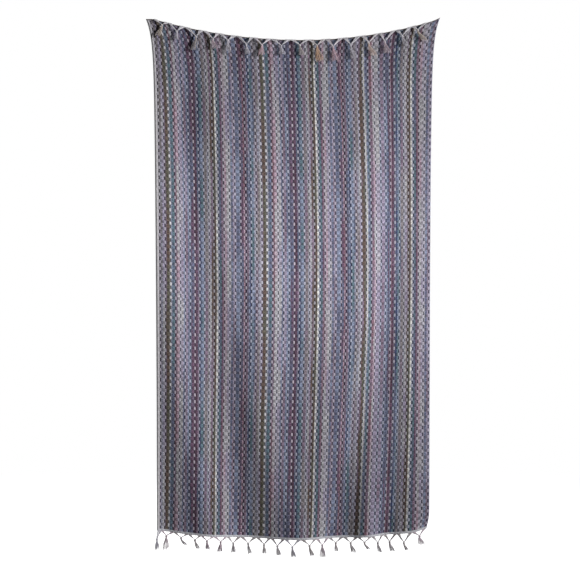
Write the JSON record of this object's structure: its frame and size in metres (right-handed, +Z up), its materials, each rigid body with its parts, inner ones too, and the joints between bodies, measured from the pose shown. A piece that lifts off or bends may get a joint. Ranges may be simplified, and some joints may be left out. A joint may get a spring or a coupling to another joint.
{
  "type": "hammam towel",
  "caption": "Striped woven cotton bath towel hung by its two top corners, with a knotted fringe along its top edge and its hem.",
  "frame": {"origin": "middle of the cloth's top edge, at half its thickness", "axes": "+Z up, -Y out of the towel's front, +X to the right of someone who faces the front"},
  "size_m": [0.98, 0.045, 1.7974],
  "materials": {
    "woven_cotton": "matt relief weave, striped in the warp",
    "fringe_yarn": "matt twisted cotton yarn"
  },
  "bodies": {
    "root": {"cloth": "woven_cotton", "fringe_hem": "fringe_yarn", "fringe_top": "fringe_yarn"}
  },
  "joints": []
}
